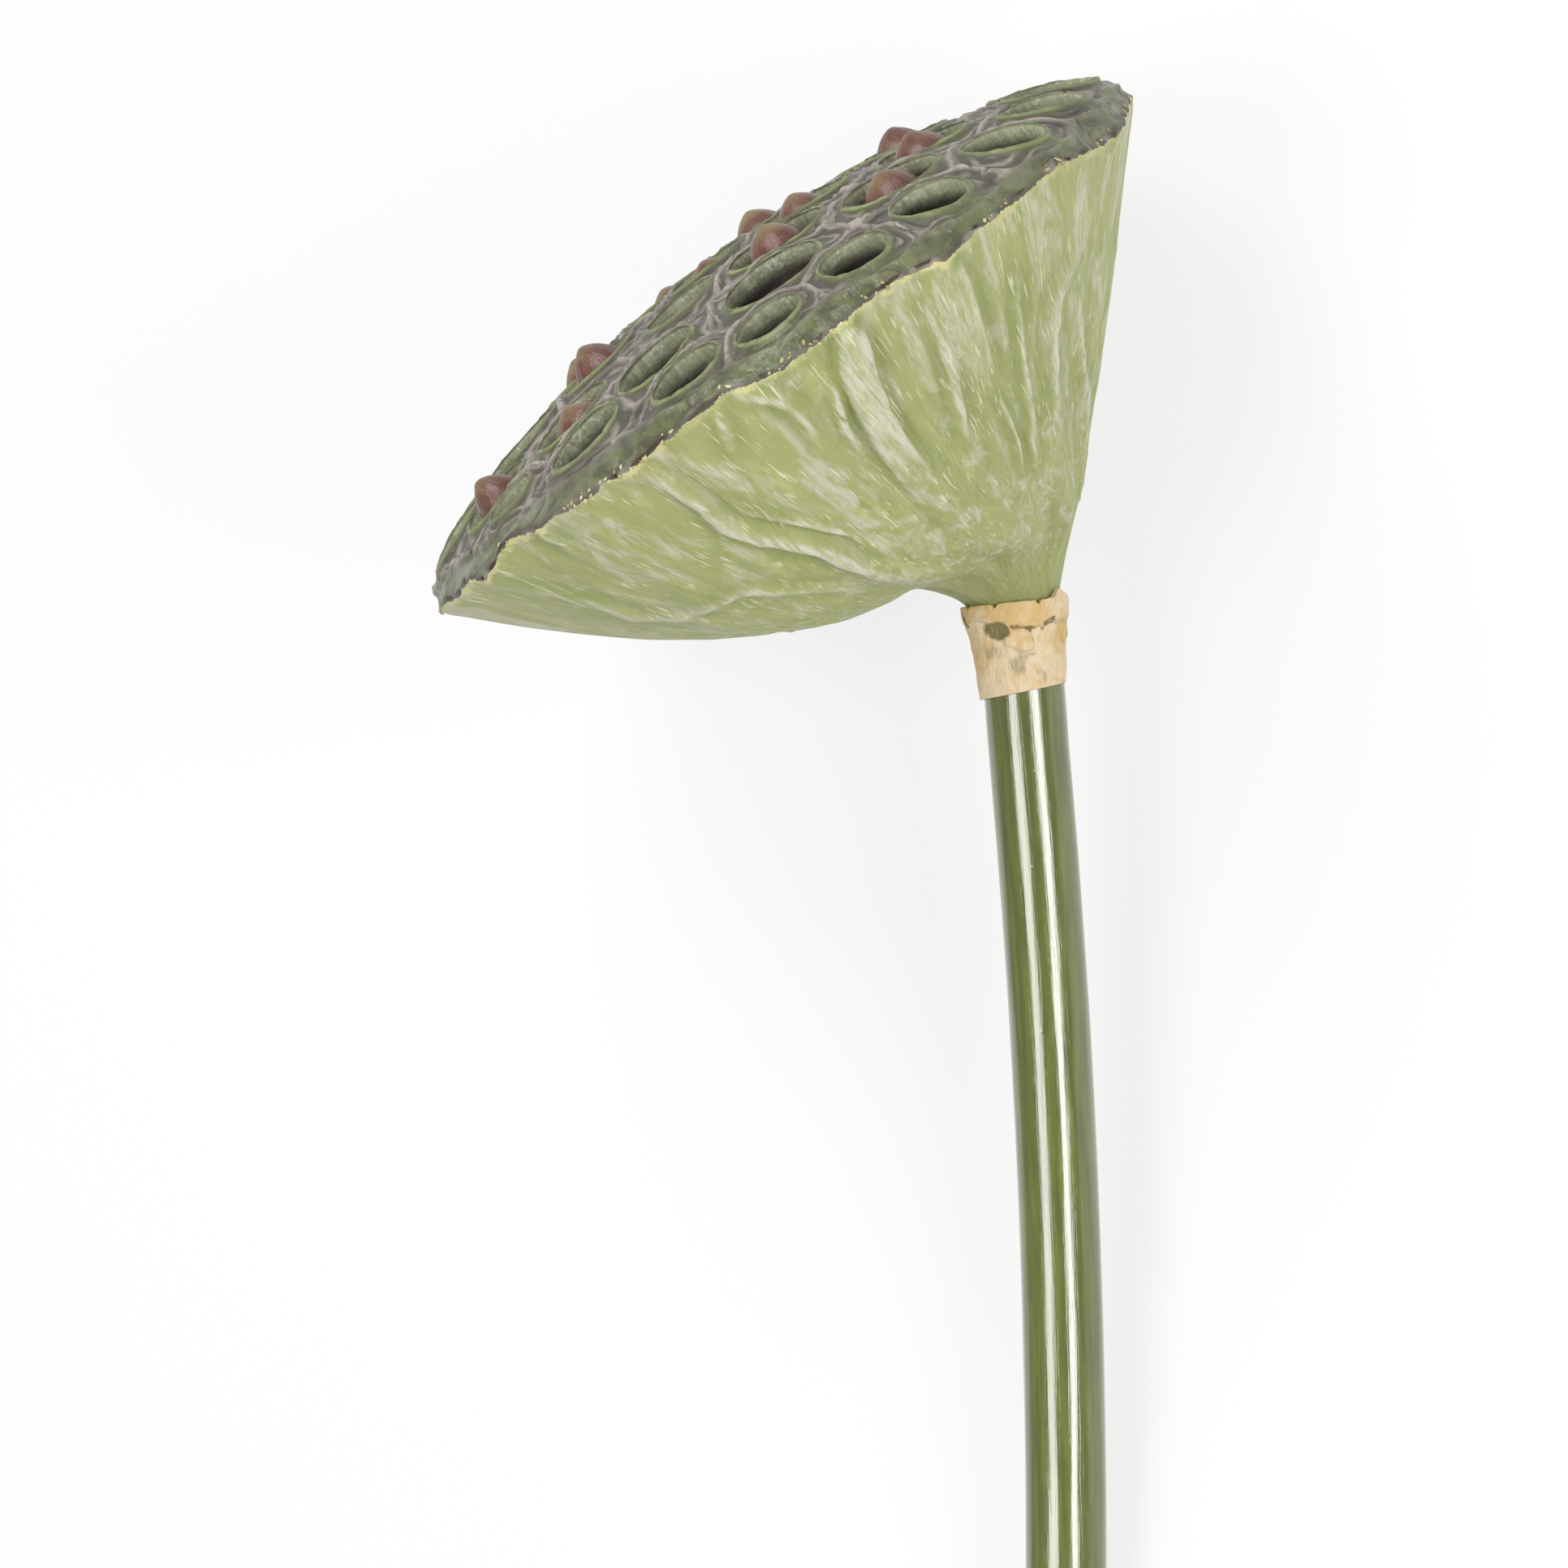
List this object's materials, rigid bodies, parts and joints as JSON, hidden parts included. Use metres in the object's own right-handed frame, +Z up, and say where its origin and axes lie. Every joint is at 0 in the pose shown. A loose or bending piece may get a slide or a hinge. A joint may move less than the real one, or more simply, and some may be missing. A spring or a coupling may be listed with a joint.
{
  "type": "lotus seed pod",
  "caption": "Fresh green lotus seed pod on a cut stem, lying on its side: domed face with seeds standing in deep pits, ribbed cone and papery collar.",
  "frame": {"origin": "centre of the bounding box's underside, on the table that the pod lies on", "axes": "+Z up, -Y along the stem towards its cut end, +X to the right of someone who looks from the stem's end with the face turned up to the left"},
  "size_m": [0.0926, 0.212, 0.0941],
  "materials": {
    "pod_flesh": "matt, waxy green plant skin",
    "stem_skin": "glossy green plant skin",
    "collar_paper": "dry, papery plant scar",
    "seed_coat": "satin nut shell"
  },
  "bodies": {
    "root": {"pod": "pod_flesh", "stem": "stem_skin", "collar": "collar_paper", "seed_01": "seed_coat", "seed_02": "seed_coat", "seed_03": "seed_coat", "seed_04": "seed_coat", "seed_05": "seed_coat", "seed_06": "seed_coat", "seed_07": "seed_coat", "seed_08": "seed_coat", "seed_09": "seed_coat", "seed_10": "seed_coat", "seed_11": "seed_coat", "seed_12": "seed_coat", "seed_13": "seed_coat", "seed_14": "seed_coat", "seed_15": "seed_coat", "seed_16": "seed_coat", "seed_17": "seed_coat", "seed_18": "seed_coat"}
  },
  "joints": []
}
